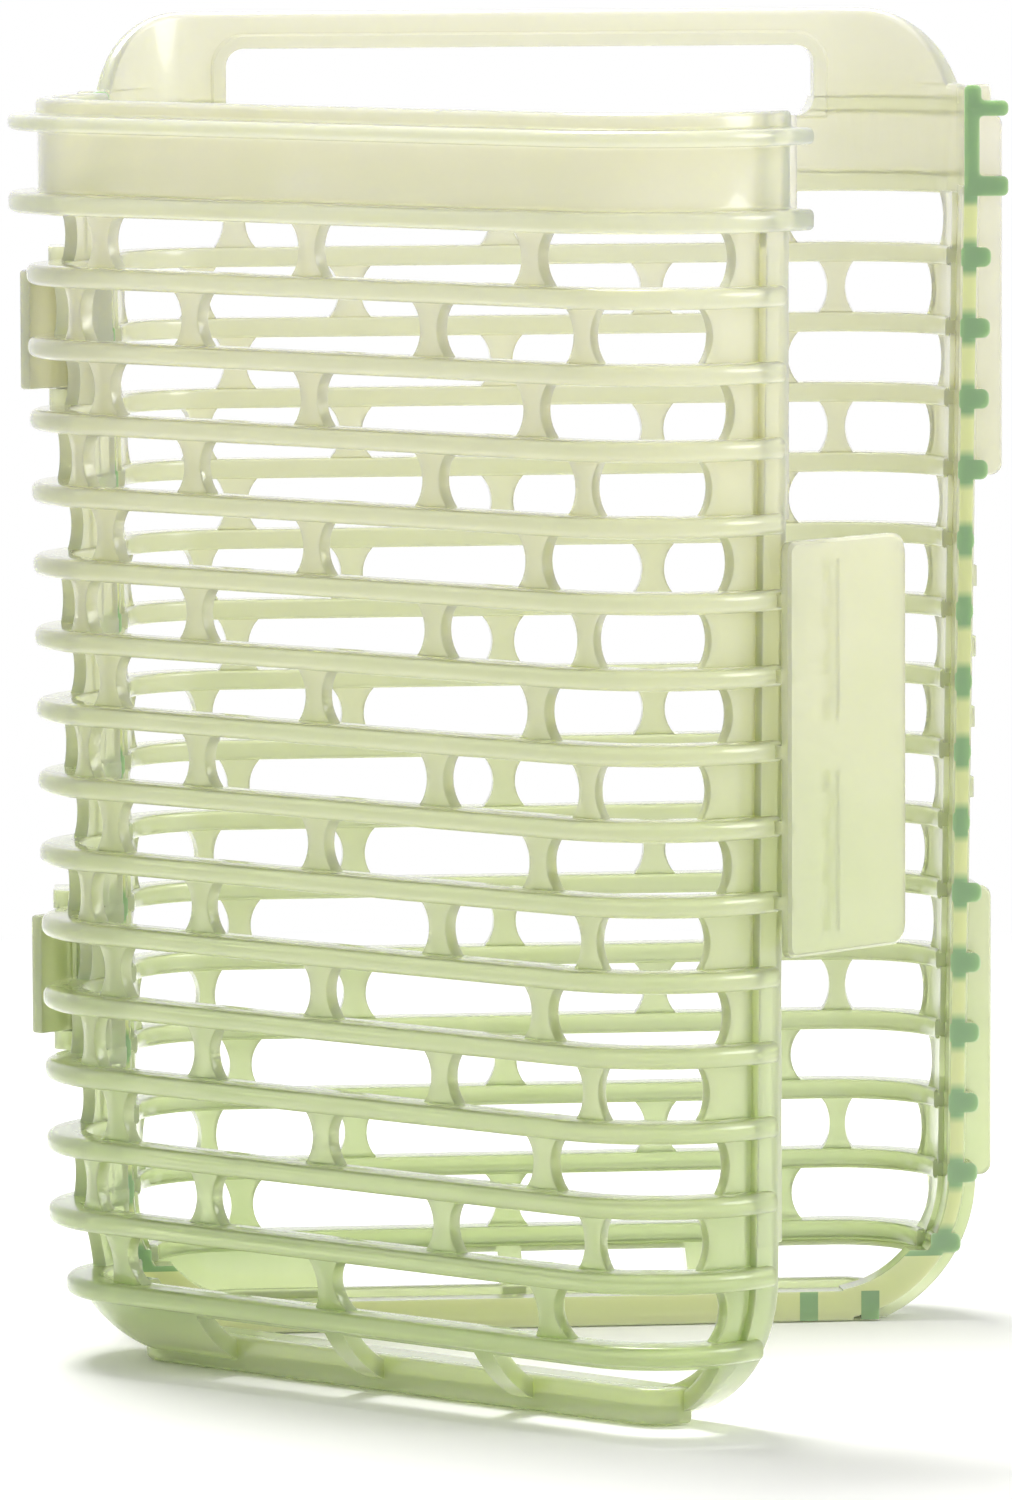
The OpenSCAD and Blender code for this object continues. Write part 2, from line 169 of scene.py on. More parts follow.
def block(bm, low, high, soft=0.0):
    made = bmesh.ops.create_cube(bm, size=1)["verts"]
    low, high = Vector(low), Vector(high)
    for v in made:
        v.co = Vector(((low[i] + high[i]) / 2 + v.co[i] * (high[i] - low[i]) for i in range(3)))
    if soft > 0:
        edges = {e for v in made for e in v.link_edges}
        bmesh.ops.bevel(bm, geom=list(edges), offset=soft, segments=2, profile=0.5, affect="EDGES")


def peg(bm, x, y, radius, z0, z1, sides=40):
    turns = [2 * math.pi * i / sides for i in range(sides)]
    ring = [(x + radius * math.cos(turn), y + radius * math.sin(turn)) for turn in turns]
    loft(bm, [[(*p, z) for p in ring] for z in (z0, z1)])


# Flat plate from an outline in two directions, with softly rounded edges
def plate(bm, outline, place, thick, soft):
    centre = Vector((sum(p[0] for p in outline) / len(outline), sum(p[1] for p in outline) / len(outline)))
    rings = []
    for depth, pull in ((0, soft), (soft, 0), (thick - soft, 0), (thick, soft)):
        ring = []
        for p in outline:
            away = Vector(p) - centre
            inset = away - Vector((math.copysign(min(pull, abs(away.x)), away.x),
                                   math.copysign(min(pull, abs(away.y)), away.y)))
            ring.append(place(*(centre + inset), depth))
        rings.append(ring)
    loft(bm, rings)


def makePart(name, build):
    bm = bmesh.new()
    build(bm)
    bmesh.ops.recalc_face_normals(bm, faces=bm.faces)
    mesh = bpy.data.meshes.new(name)
    bm.to_mesh(mesh)
    bm.free()
    part = bpy.data.objects.new(name, mesh)
    bpy.context.scene.collection.objects.link(part)
    return part


# One watertight skin from overlapping closed parts
def join(body, parts, operation="UNION"):
    for part in parts:
        tool = body.modifiers.new("join", "BOOLEAN")
        tool.object = part
        tool.operation = operation
        tool.solver = "MANIFOLD"
    bpy.context.view_layer.update()
    merged = bpy.data.meshes.new_from_object(body.evaluated_get(bpy.context.evaluated_depsgraph_get()))
    body.modifiers.clear()
    body.data = merged
    for part in parts:
        bpy.data.objects.remove(part)
    print(body.name, operation.lower(), len(merged.vertices))
    return body


def ribProfile(z, out, reach, inset):
    wall, half = wallRadius(z), lattice["ribThick"] / 2 - inset
    r0, r1 = wall - reach, wall + out - inset
    nose, back = lattice["ribRound"] - inset / 2, lattice["ribBackRound"]
    return filleted([(r0, z - half, back), (r1, z - half, nose), (r1, z + half, nose), (r0, z + half, back)])


# Ribs that run round the wall, ending in the mating strips
def ribs(front):
    pocket = cornerEnd - lattice["pocketLength"]
    taper = cornerEnd - lattice["ribTaper"]
    right = edgeEnd - (lattice["frontEndCut"] if front else 0.0)
    endRound = lattice["ribEndRound"]

    def build(bm):
        for k in range(2, lattice["ribCount"] + 1):
            z = ribHeight(k)
            flush = not front and lattice["aboveLatch"] < k < lattice["belowLatch"]
            extra = [right - endRound, taper, -taper]
            if flush:
                extra += [pocket, pocket - lattice["pocketSlope"]]

            def profileAt(s):
                reach = lattice["ribIn"] if abs(s) <= taper else basket["edgeWidth"]
                out = 0.0 if flush and s >= pocket else lattice["ribOut"]
                return ribProfile(z, out, reach, endRound if front and s == right else 0.0)
            sweep(bm, profileAt, stations(-edgeEnd, right, extra))
    return makePart("ribs", build)


# Waisted posts between the ribs, and the end posts beside the mating strips
def posts():
    big, sink, steps, spacing = lattice["windowEnd"], lattice["postSink"], 10, 1.5
    soft = lattice["postRound"]
    bulge = 0.3 * soft  # the rounding's middle point, from the corner

    def build(bm):
        for k in range(1, lattice["ribCount"]):
            low = ribHeight(k + 1) + lattice["ribThick"] / 2
            middle = low + rowHeight / 2
            heights = [low - sink] + [low + rowHeight * i / steps for i in range(steps + 1)]
            heights.append(low + rowHeight + sink)
            row, rowEnd = ("longRow", "longRowEnd") if k % 2 == 1 else ("shortRow", "shortRowEnd")
            half, end = lattice["postWaist"] / 2, cornerEnd - turnLength / 90 * lattice[rowEnd]
            far = cornerEnd + lattice["endPostSink"]
            spans = [(s - half, s + half, 1, 1) for s in lattice[row]]
            spans += [(end, far, 1, 0), (-far, -end, 0, 1)]
            for s0, s1, flareLeft, flareRight in spans:
                pieces = max(2, round((s1 - s0) / spacing))

                def sectionAt(z):
                    lift = min(abs(z - middle), rowHeight / 2)
                    flare = big - math.sqrt(big * big - lift * lift)
                    a, b = s0 - flare * flareLeft, s1 + flare * flareRight
                    r0, r1 = wallRadius(z) - lattice["postIn"], wallRadius(z) - lattice["postRecess"]
                    inner = [(a + (b - a) * i / pieces, r0) for i in range(pieces + 1)]
                    outer = [(b, r1 - soft), (b - bulge, r1 - bulge)]
                    outer += [(b - soft - (b - a - 2 * soft) * i / pieces, r1) for i in range(pieces + 1)]
                    outer += [(a + bulge, r1 - bulge), (a, r1 - soft)]
                    return inner + outer
                column(bm, sectionAt, heights)
    return makePart("posts", build)


stripShape = {
    "heights": (8.6, 9.4, 10.8, 12, 14, 16, 18, 20, 60, 110, topRib),  # closer on the lower curve
    "overlap": 0.5,        # into the corner
    "mateRound": 0.3,
    "cornerRound": 0.25,
}


# Straight strips beside the mating plane
def strips():
    p, start, soft = stripShape, cornerEnd - stripShape["overlap"], stripShape["mateRound"]

    def build(bm):
        for side in (-1, 1):
            def sectionAt(z):
                outer, inner = wallRadius(z), wallRadius(z) - basket["edgeWidth"]
                corners = [(start, inner, 0), (edgeEnd, inner, soft), (edgeEnd, outer, soft),
                           (start, outer, p["cornerRound"])]
                return [(side * s, r) for s, r in filleted(corners, 2)]
            column(bm, sectionAt, p["heights"])
    return makePart("strips", build)


collarShape = {
    "bottom": topRib - lattice["ribThick"] / 2,
    "flangeOut": 4.1,
    "wall": 2.2,
    "rimLow": 170.65,
    "rimHigh": 172.85,
    "top": 175.05,
    "lipOut": 0.25,
    "round": 0.85,
    "innerRound": 0.4,
    "rootRound": 0.6,      # hollow where a flange meets the wall
    "lipRootRound": 0.5,
    "lipRound": 0.8,
}


# Plain band with the top rib below it, the rim flange above it and a low lip on top
def collar():
    c, r = collarShape, basket["cornerRadius"]
    ledge, tip, lip = c["bottom"] + lattice["ribThick"], r + c["flangeOut"], r + c["lipOut"]
    profile = filleted([
        (r - c["wall"], c["bottom"], c["innerRound"]), (tip, c["bottom"], c["round"]),
        (tip, ledge, c["round"]), (r, ledge, c["rootRound"]),
        (r, c["rimLow"], c["rootRound"]), (tip, c["rimLow"], c["round"]),
        (tip, c["rimHigh"], c["round"]), (lip, c["rimHigh"], c["lipRootRound"]),
        (lip, c["top"], c["lipRound"]), (r - c["wall"], c["top"], c["lipRound"])])
    return makePart("collar", lambda bm: sweep(bm, lambda s: profile, stations()))


handleShape = {
    "top": 185.45,
    "shoulderRadius": 12.0,
    "shoulderIn": 1.2,
    "wall": 2.3,
    "edgeRound": 1.0,
    "sink": 0.6,           # into the rim flange
    "endIn": 1.0,          # from the corners' ends
    "shoulderLength": 21.0,  # stretch of each corner with closer places
    "gripHalfWidth": 42.0,
    "gripLow": 170.25,
    "gripHigh": 180.25,
    "gripRound": 2.5,
    "gripCut": (12.0, 40.0),  # from in front of the wall to behind it
    "borderWidth": 2.1,
    "borderProud": 0.45,
    "borderSink": 0.9,     # below the rim flange's underside
    "borderFootRound": 0.5,
    "borderRound": 0.35,
    "tabOut": 2.0,
    "tabIn": 1.0,
    "tabThick": 2.0,
    "tabSink": 0.4,
    "tabRound": 0.35,
}


def handleTop(x):
    h = handleShape
    away = abs(x) - (basket["width"] / 2 - h["shoulderIn"] - h["shoulderRadius"])
    if away <= 0:
        return h["top"]
    if away >= h["shoulderRadius"]:
        return collarShape["top"]
    lift = math.sqrt(h["shoulderRadius"] ** 2 - away * away)
    return max(collarShape["top"], h["top"] - h["shoulderRadius"] + lift)


# Upright wall that rises from the rear collar to the handle's curved top, with a rounded edge
def handle(bm):
    h, r, steps = handleShape, basket["cornerRadius"], 40
    low, soft, end = collarShape["rimHigh"] - h["sink"], h["edgeRound"], cornerEnd - h["endIn"]

    def profileAt(s):
        top = handleTop(outlinePoint(s, r)[0])
        return filleted([(r - h["wall"], low, 0), (r, low, 0), (r, top, soft), (r - h["wall"], top, soft)], 5)
    shoulder = [cornerX + h["shoulderLength"] * i / steps for i in range(1, steps)]
    sweep(bm, profileAt, stations(-end, end, [side * s for side in (-1, 1) for s in shoulder]))


# Raised frame round the grip opening
def gripBorder(bm):
    h, grow = handleShape, handleShape["borderWidth"]
    half, low, high = h["gripHalfWidth"] + grow, collarShape["rimLow"] - h["borderSink"], h["gripHigh"] + grow
    foot, soft = h["borderFootRound"], h["gripRound"] + grow
    outline = filleted([(-half, low, foot), (half, low, foot), (half, high, soft), (-half, high, soft)], 6)
    y = basket["edgeDepth"] + basket["cornerRadius"] - h["wall"] - h["borderProud"]
    plate(bm, outline, lambda u, v, d: (u, y + d, v), h["wall"] + 2 * h["borderProud"], h["borderRound"])


def gripOpening(bm):
    h = handleShape
    half, low, high, soft = h["gripHalfWidth"], h["gripLow"], h["gripHigh"], h["gripRound"]
    outline = filleted([(-half, low, soft), (half, low, soft), (half, high, soft), (-half, high, soft)], 6)
    loft(bm, [[(x, y, z) for x, z in outline] for y in h["gripCut"]])


# Small tabs on the rim flange at both ends of the rear lip
def lipTabs(bm):
    h, edge, half = handleShape, basket["edgeDepth"], basket["width"] / 2
    low, high = collarShape["rimHigh"] - h["tabSink"], collarShape["top"]
    for side in (-1, 1):
        x = sorted((side * (half - h["tabIn"]), side * (half + h["tabOut"])))
        block(bm, (x[0], edge - h["tabThick"], low), (x[1], edge, high), h["tabRound"])


def rearTop():
    parts = [makePart("handle", handle), makePart("gripBorder", gripBorder), makePart("tabs", lipTabs)]
    return join(join(collar(), parts), [makePart("gripOpening", gripOpening)], "DIFFERENCE")


baseShape = {
    "top": 9.8,
    "wall": 2.4,
    "sill": 4.2,           # thickness beside the mating plane
    "sillOver": 1.4,       # past the corners' axes
    "floorOver": 1.2,
    "floorDepth": (-0.6, 1.6),  # from the corners' axes
    "footRadius": 5.729,
    "footHeight": 5.0,
    "footStart": 0.4,      # the foot's section keeps off the corner's axis
    "footRound": 1.0,
    "footTopRound": 0.5,
    "footInnerRound": 0.3,
    "endIn": 0.2,          # from the corners' ends
    "endOverlap": 0.6,
    "endFlat": 3.7,        # from the belly's centre to where the curve leaves the floor
    "endLift": 0.4,
    "endInnerLift": 0.2,
    "slotBars": (-30.0, -3.0, 24.0),
    "slotBar": 3.4,
    "slotDepth": (1.0, 24.0),  # from the corner's axis
    "slotHeight": (-1.0, 8.7),
}
bellyCentre = wallRadius(basket["bellyRadius"]) - basket["bellyRadius"]


# Outline points on a circle about the belly's centre, from height to height
def bellyArc(radius, z0, z1, steps):
    big = basket["bellyRadius"]
    heights = [z0 + (z1 - z0) * i / steps for i in range(steps + 1)]
    return [(bellyCentre + math.sqrt(radius ** 2 - (big - z) ** 2), z) for z in heights]


# Rounded lower wall over a narrow foot; beside the mating plane the curve runs on to the floor
def base():
    b, big, edge = baseShape, basket["bellyRadius"], basket["edgeDepth"]
    inner = b["footRadius"] - b["wall"]
    around = stations(b["endIn"] - cornerEnd, cornerEnd - b["endIn"])

    def wall(bm):
        start, inside = inner + b["wall"] / 2 - bellyCentre, big - b["wall"]
        profile = bellyArc(big, big - math.sqrt(big ** 2 - start ** 2), b["top"], 9)
        profile += bellyArc(inside, b["top"], big - math.sqrt(inside ** 2 - start ** 2), 9)
        sweep(bm, lambda s: profile, around)

    def slots(bm):
        half, steps = b["slotBar"] / 2, 16
        bars = b["slotBars"] + (cornerEnd - turnLength * lattice["longRowEnd"] / 90 + half,)
        (r0, r1), (z0, z1) = b["slotDepth"], b["slotHeight"]
        outline = [(r0, z0), (r1, z0), (r1, z1), (r0, z1)]
        for left, right in zip(bars, bars[1:]):
            length = right - left - b["slotBar"]
            sweep(bm, lambda s: outline, [left + half + length * i / steps for i in range(steps + 1)])

    def foot(bm):
        start, r, top, soft = b["footStart"], b["footRadius"], b["footHeight"], b["footTopRound"]
        profile = filleted([(start, 0.0, 0), (r, 0.0, b["footRound"]), (r, top, soft), (inner, top, soft),
                            (inner, b["wall"], b["footInnerRound"]), (start, b["wall"], 0)])
        sweep(bm, lambda s: profile, around)

    def ends(bm):
        profile = [(bellyCentre + b["endFlat"], 0.0)] + bellyArc(big, b["endLift"], b["top"], 12)
        profile += bellyArc(big - b["sill"], b["top"], b["sill"] + b["endInnerLift"], 10)
        for side in (-1, 1):
            sweep(bm, lambda s: profile, sorted([side * (cornerEnd - b["endOverlap"]), side * edgeEnd]))

    def sill(bm):
        half = cornerX + b["sillOver"]
        block(bm, (-half, basket["mateGap"], 0.0), (half, edge, b["sill"]))

    def floor(bm):
        half, (near, far) = cornerX + b["floorOver"], b["floorDepth"]
        block(bm, (-half, edge + near, 0.0), (half, edge + far, b["wall"]))

    whole = join(makePart("base", wall), [makePart("slots", slots)], "DIFFERENCE")
    return join(whole, [makePart("foot", foot), makePart("baseEnds", ends), makePart("sill", sill),
                        makePart("floor", floor)])


hingeShape = {
    "pinRadius": 1.2,
    "pinRoom": 0.05,
    "boreOver": 1.0,
    "eyeRadius": 2.2,
    "strapHeight": 16.6,
    "strapBack": 11.6,     # from the strap's end to the front wall line
    "strapThick": 2.0,
    "strapRound": 0.45,
    "webSink": 0.6,        # into the mating strip
    "webStart": 1.0,       # inside the strap
    "webShy": 0.03,        # keeps joined faces off each other
    "webRound": 0.2,
    "lugHeight": 2.6,
    "lugShy": 0.02,
    "neckShare": 0.7,      # of the eye's radius
    "armSink": 0.5,
    "endPlay": 0.3,
    "strapRibs": (2, 11),  # a strap hangs from the middle of each of these ribs
}


# Two strap plates with eyes on the front half
def straps():
    h, gap, edge, ahead = hingeShape, basket["mateGap"], basket["edgeDepth"], basket["hingeForward"]
    x, shy = hingeX + (h["eyeRadius"] - h["pinRadius"]) / 2, h["webShy"]
    spans = [(ribHeight(k) - h["strapHeight"], ribHeight(k)) for k in h["strapRibs"]]

    def plates(bm):
        for low, high in spans:
            end = edge + wallRadius((low + high) / 2) - h["strapBack"]
            block(bm, (x, gap, low), (x + h["strapThick"], end, high), h["strapRound"])

    def eyes(bm):
        for low, high in spans:
            peg(bm, hingeX, ahead, h["eyeRadius"], low, high)

    def webs(bm):
        for low, high in spans:
            tip = h["webSink"] - cornerX - wallRadius((low + high) / 2)
            block(bm, (x + h["webStart"], gap, low + shy), (tip, edge, high - shy), h["webRound"])

    def bores(bm):
        for low, high in spans:
            peg(bm, hingeX, ahead, h["pinRadius"] + h["pinRoom"], low - h["boreOver"], high + h["boreOver"])

    whole = join(makePart("straps", plates), [makePart("eyes", eyes), makePart("webs", webs)])
    return join(whole, [makePart("bores", bores)], "DIFFERENCE")


# Lugs on the rear half that hold the pins above and below each strap
def lugs():
    h, gap, edge, ahead = hingeShape, basket["mateGap"], basket["edgeDepth"], basket["hingeForward"]
    shy, soft = h["lugShy"], h["webRound"]
    spans = []
    for k in h["strapRibs"]:
        under, over = ribHeight(k) - h["strapHeight"] - h["endPlay"], ribHeight(k) + h["endPlay"]
        spans += [(under - h["lugHeight"], under), (over, over + h["lugHeight"])]

    def eyes(bm):
        for low, high in spans:
            peg(bm, hingeX, -ahead, h["eyeRadius"], low, high)

    def necks(bm):
        half = h["neckShare"] * h["eyeRadius"]
        for low, high in spans:
            block(bm, (hingeX - half, -ahead, low + shy), (hingeX + half, edge, high - shy), soft)

    def arms(bm):
        for low, high in spans:
            tip = h["armSink"] - cornerX - wallRadius(low)
            block(bm, (hingeX, gap, low + 2 * shy), (tip, edge - shy, high - 2 * shy), soft)

    return join(makePart("lugs", eyes), [makePart("lugNecks", necks), makePart("lugArms", arms)])


latchShape = {
    "clear": 0.4,          # over the ribs
    "thick": 1.8,
    "low": 63.6,
    "high": 118.56,
    "reach": 20.0,
    "round": 2.5,
    "heelRound": 1.2,
    "edgeRound": 0.4,
    "rootIn": 0.4,
    "rootSink": 0.5,
    "rootDepth": (2.4, 4.2),  # from the mating plane
    "rootHalfHeight": 0.9,
    "rootRound": 0.15,
    "railOut": 1.4,
    "railSink": 0.4,
    "railAt": 5.0,
    "railWidth": 1.0,
    "railLength": 21.4,
    "railEnd": 2.8,        # from the plate's ends
    "railSteps": 7,
}


# Flat latch plate with two toothed rails on its inside
def latch():
    c, edge = latchShape, basket["edgeDepth"]
    inside = cornerX + wallRadius(ribHeight(lattice["aboveLatch"])) + lattice["ribOut"] + c["clear"]

    def body(bm):
        outline = filleted([(-c["reach"], c["low"], c["round"]), (edge, c["low"], c["heelRound"]),
                            (edge, c["high"], c["heelRound"]), (-c["reach"], c["high"], c["round"])], 5)
        plate(bm, outline, lambda u, v, d: (inside + d, u, v), c["thick"], c["edgeRound"])

    def roots(bm):
        half, (near, far) = c["rootHalfHeight"], c["rootDepth"]
        for k in range(lattice["aboveLatch"] + 1, lattice["belowLatch"]):
            z = ribHeight(k)
            x0, x1 = cornerX + wallRadius(z) - c["rootIn"], inside + c["rootSink"]
            block(bm, (x0, near, z - half), (x1, far, z + half), c["rootRound"])

    def rails(bm):
        wide, long, steps = c["railWidth"], c["railLength"], c["railSteps"]
        y, depths = -c["railAt"] - 2 * wide, (inside - c["railOut"], inside + c["railSink"])
        for z in (c["low"] + c["railEnd"], c["high"] - c["railEnd"] - long):
            points = [(y, z)]
            for i in range(steps):
                out = y + (2 if i % 2 == 0 else 1) * wide
                points += [(out, z + i * long / steps), (out, z + (i + 1) * long / steps)]
            points.append((y, z + long))
            loft(bm, [[(x, u, v) for u, v in points] for x in depths])

    return join(makePart("latchPlate", body), [makePart("latchRoots", roots), makePart("latchRails", rails)])


tongueShape = {
    "reach": 3.8,          # past the mating plane
    "collarReach": 4.8,
    "collarIn": 0.8,       # from the collar's bottom and top
    "back": 4.2,
    "thick": 0.9,
    "clear": 0.3,          # inside the rear half's strip
    "round": 0.2,
    "rootIn": 1.1,
    "rootOut": 0.9,
    "rootDepth": (0.3, 4.1),  # from the mating plane
    "rootShy": 0.1,
}


# Thin strips inside the front half's free edge that slip into the rear half
def tongue():
    t, shy, halfRow = tongueShape, tongueShape["rootShy"], rowHeight / 2
    spans = ((ribHeight(lattice["aboveLatch"]), ribHeight(1) - halfRow, t["reach"]),
             (ribHeight(lattice["ribCount"] - 1) + halfRow, ribHeight(lattice["belowLatch"]), t["reach"]),
             (collarShape["bottom"] + t["collarIn"], collarShape["top"] - t["collarIn"], t["collarReach"]))

    def blades(bm):
        for low, high, reach in spans:
            x = cornerX + wallRadius(low) - basket["edgeWidth"] - t["clear"]
            block(bm, (x - t["thick"], -reach, low), (x, t["back"], high), t["round"])

    def roots(bm):
        near, far = t["rootDepth"]
        for low, high, reach in spans:
            x = cornerX + wallRadius(low) - basket["edgeWidth"]
            block(bm, (x - t["rootIn"], near, low + shy), (x + t["rootOut"], far, high - shy), shy)

    return join(makePart("tongue", blades), [makePart("tongueRoots", roots)])


earShape = {
    "out": 3.9,
    "thick": 1.4,
    "round": 1.6,
    "rootIn": 1.25,
    "rootRound": 0.3,
    "edgeRound": 0.25,
    "upperBelow": 0.93,    # below the middle of its lowest rib
    "upperAbove": 0.3,     # above the rim flange's underside
    "lowerOver": 0.7,      # past the middles of its end ribs
    "webOut": 2.0,
    "webIn": 0.8,
    "webFloor": 1.6,       # height of the web's inner end
    "webShy": 0.05,
}


# Flat ears on the rear half's free edge, above and below the latch
def ears():
    e, over = earShape, earShape["lowerOver"]
    spans = ((ribHeight(lattice["aboveLatch"]) - e["upperBelow"], collarShape["rimLow"] + e["upperAbove"]),
             (ribHeight(lattice["ribCount"] - 1) - over, ribHeight(lattice["belowLatch"]) + over))

    def build(bm):
        y = basket["edgeDepth"] - e["thick"]
        for low, high in spans:
            tip = cornerX + wallRadius((low + high) / 2) + e["out"]
            root = cornerX + wallRadius(low) - e["rootIn"]
            outline = filleted([(root, low, e["rootRound"]), (tip, low, e["round"]), (tip, high, e["round"]),
                                (root, high, e["rootRound"])], 5)
            plate(bm, outline, lambda u, v, d: (u, y + d, v), e["thick"], e["edgeRound"])
    return makePart("ears", build)


# Thin web that runs on from the lower ear round the curve to the floor
def lowerWeb():
    e, big = earShape, basket["bellyRadius"]

    def build(bm):
        outline = bellyArc(big + e["webOut"], 0.0, big, 16)
        outline += bellyArc(big - e["webIn"], big, e["webFloor"], 14)
        outline.append((outline[-1][0], 0.0))
        back = basket["edgeDepth"] - e["webShy"]
        loft(bm, [[(cornerX + r, y, z) for r, z in outline] for y in (back - e["thick"], back)])
    return makePart("lowerWeb", build)


sillRibs = {"spots": (38.0, 46.8), "width": 2.6, "proud": 0.06, "back": 1.0, "shy": 0.03}


# Ends of the floor's ribs, a touch proud of the rear mating face
def floorRibs():
    half, shy = sillRibs["width"] / 2, sillRibs["shy"]
    face, top = basket["mateGap"] - sillRibs["proud"], baseShape["sill"] - shy

    def build(bm):
        for x in sillRibs["spots"]:
            block(bm, (x - half, face, shy), (x + half, sillRibs["back"], top))
    return makePart("floorRibs", build)


catchShape = {"in": 0.6, "out": 0.5, "depth": (0.3, 4.3), "halfHeight": 1.5, "round": 0.15}


# Low catches on the rear mating strip, where the latch rails snap in
def catches():
    half, (near, far) = catchShape["halfHeight"], catchShape["depth"]

    def build(bm):
        for k in range(lattice["aboveLatch"] + 1, lattice["belowLatch"] - 1):
            z = ribHeight(k + 1) + lattice["ribPitch"] / 2
            wall = cornerX + wallRadius(z)
            block(bm, (wall - catchShape["in"], near, z - half), (wall + catchShape["out"], far, z + half),
                  catchShape["round"])
    return makePart("catches", build)


axis = Vector((hingeX, -basket["hingeForward"], 0))
restTurn = Matrix.Translation(axis) @ Matrix.Rotation(-math.radians(basket["openAngle"]), 4, "Z")
restTurn = restTurn @ Matrix.Translation(-axis) @ Matrix.Diagonal((1, -1, 1, 1))
toFrame = Matrix.Diagonal((0.001, 0.001, 0.001, 1)) @ Matrix.Translation((0, -basket["footMiddle"], 0))


# Smooth skin, with the mating faces in materials of their own
def finishHalf(half, place, materials):
    flatness, sharpAngle = 0.02, 32
    mesh = half.data
    mesh.materials.clear()
    for material in materials:
        mesh.materials.append(material)
    planes = (basket["mateGap"], basket["mateGap"] - sillRibs["proud"])
    for face in mesh.polygons:
        for slot, plane in enumerate(planes, 1):
            if max(abs(mesh.vertices[v].co.y - plane) for v in face.vertices) < flatness:
                face.material_index = slot
    mesh.transform(place)
    bm = bmesh.new()
    bm.from_mesh(mesh)
    bmesh.ops.recalc_face_normals(bm, faces=bm.faces)
    bm.to_mesh(mesh)
    bm.free()
    mesh.shade_smooth()
    mesh.set_sharp_from_angle(angle=math.radians(sharpAngle))
    return half


# One colour space for every colour: sRGB hex to linear
def linear(hexColour):
    parts = [int(hexColour[i:i + 2], 16) / 255 for i in (1, 3, 5)]
    return [p / 12.92 if p <= 0.04045 else ((p + 0.055) / 1.055) ** 2.4 for p in parts] + [1.0]


def addNode(tree, kind, settings=None, links=None):
    node = tree.nodes.new(kind)
    for key, value in (settings or {}).items():
        if isinstance(key, int) or key in node.inputs:
            node.inputs[key].default_value = value
        else:
            setattr(node, key, value)
    for key, source in (links or {}).items():
        tree.links.new(source, node.inputs[key])
    return node


# Arithmetic on a value from the tree and another, or a number
def arithmetic(tree, operation, first, second):
    settings, links = {"operation": operation}, {0: first}
    (settings if isinstance(second, float) else links)[1] = second
    return addNode(tree, "ShaderNodeMath", settings, links).outputs[0]


# A value stretched from one span to another
def stretched(tree, value, start=(0.0, 1.0), end=(0.0, 1.0)):
    spans = {"From Min": start[0], "From Max": start[1], "To Min": end[0], "To Max": end[1]}
    return addNode(tree, "ShaderNodeMapRange", spans, {"Value": value}).outputs[0]


def twoColours(tree, amount, low, high):
    ramp = addNode(tree, "ShaderNodeValToRGB", links={"Fac": amount})
    ramp.color_ramp.elements[0].color = linear(low)
    ramp.color_ramp.elements[1].color = linear(high)
    return ramp.outputs["Color"]


mouldedPolypropylene = {
    # Painted light: the top colour is painted lighter as lit from above, the low colour greener and darker as
    # painted shade
    "paintedLitTopColour": "#fff8ea",
    "paintedShadeLowColour": "#d3dfb0",
    "topHeight": 0.172,
    "lowHeight": 0.012,
    # Painted fill light: the foot band is painted paler to lift the shade under the rounded belly
    "paintedFillLightFootColour": "#eef6d0",
    "paintedFillLightHeights": (0.004, 0.009),
    "roughness": 0.2,
    "glossSpread": 0.05,
    "ior": 1.49,
    "transmission": 0.62,
    "shine": 0.7,          # polished mould face over the milky inside
    "shineRoughness": 0.06,
    "milk": 3.0,           # mm that light spreads inside
    "milkColour": (1.0, 1.0, 0.7),
    "tint": (0.77, 0.92, 0.26),
    "tintDensity": 65.0,   # per metre: thin walls stay cream, thick ones turn green
    "clouding": 14.0,      # mm between paler and deeper patches
    "cloudDetail": 2.0,
    "cloudShift": 0.12,
}


# Natural polypropylene with a green tint, injection moulded: milky, see-through where thin, satin gloss
def polypropylene(name, s, colourOf):
    material = bpy.data.materials.new(name)
    material.use_nodes = True
    tree = material.node_tree
    tree.nodes.clear()
    place = addNode(tree, "ShaderNodeTexCoord").outputs["Object"]
    height = addNode(tree, "ShaderNodeSeparateXYZ", links={"Vector": place}).outputs["Z"]
    cloud = addNode(tree, "ShaderNodeTexNoise", {"Scale": 1000 / s["clouding"], "Detail": s["cloudDetail"]},
                    {"Vector": place}).outputs["Fac"]
    rough, spread = s["roughness"], s["glossSpread"]
    gloss = stretched(tree, cloud, end=(rough - spread, rough + spread))
    skin = addNode(tree, "ShaderNodeBsdfPrincipled",
                   {"IOR": s["ior"], "Coat Weight": s["shine"], "Coat Roughness": s["shineRoughness"],
                    "Transmission Weight": s["transmission"], "Subsurface Weight": 1.0,
                    "Subsurface Radius": s["milkColour"], "Subsurface Scale": s["milk"] / 1000},
                   {"Base Color": colourOf(tree, height, cloud), "Roughness": gloss})
    inside = addNode(tree, "ShaderNodeVolumeAbsorption",
                     {"Color": (*s["tint"], 1.0), "Density": s["tintDensity"]})
    addNode(tree, "ShaderNodeOutputMaterial", links={"Surface": skin.outputs[0], "Volume": inside.outputs[0]})
    return material


